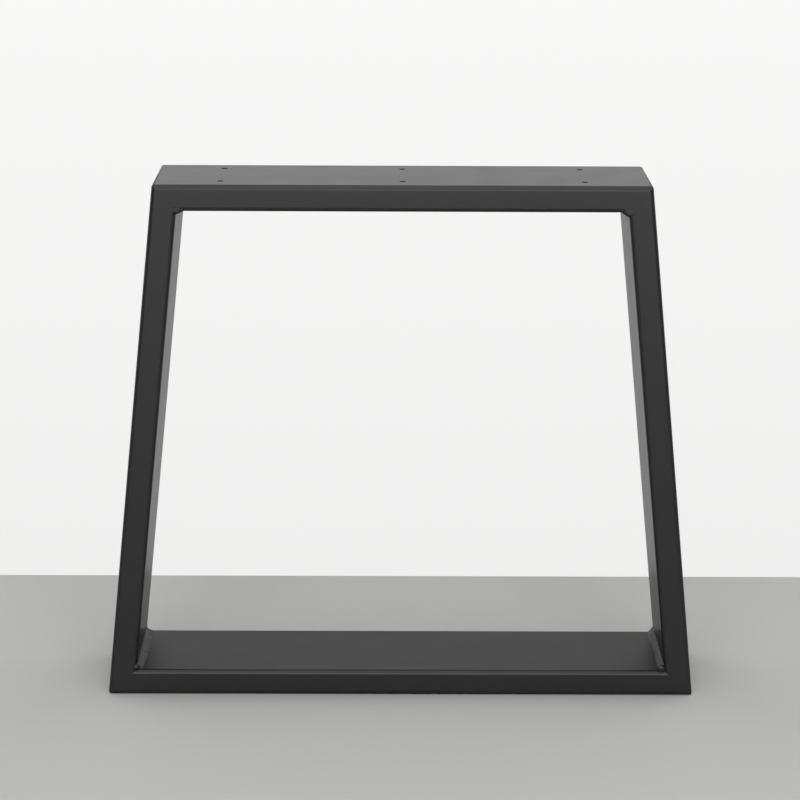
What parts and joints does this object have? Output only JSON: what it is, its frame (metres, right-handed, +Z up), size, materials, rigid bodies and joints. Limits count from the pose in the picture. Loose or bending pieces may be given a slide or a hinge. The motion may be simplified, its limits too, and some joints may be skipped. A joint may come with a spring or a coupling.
{
  "type": "trestle table leg",
  "caption": "Low trapezoid table leg: closed frame of mitred flat steel hollow section, welded and powder coated satin black, with screw holes in the top rail for a table top.",
  "frame": {"origin": "on the floor, under the middle of the bottom rail", "axes": "+X across the frame to the right, +Y through its depth from front to back, +Z up"},
  "size_m": [0.4534, 0.1, 0.4],
  "materials": {
    "powder_coat": "satin black powder coat on steel tube",
    "coated_weld": "satin black powder coat over a rippled weld bead"
  },
  "bodies": {
    "root": {"top_rail": "powder_coat", "bottom_rail": "powder_coat", "left_leg": "powder_coat", "right_leg": "powder_coat", "weld_top_left": "coated_weld", "weld_top_right": "coated_weld", "weld_bottom_left": "coated_weld", "weld_bottom_right": "coated_weld"}
  },
  "joints": []
}
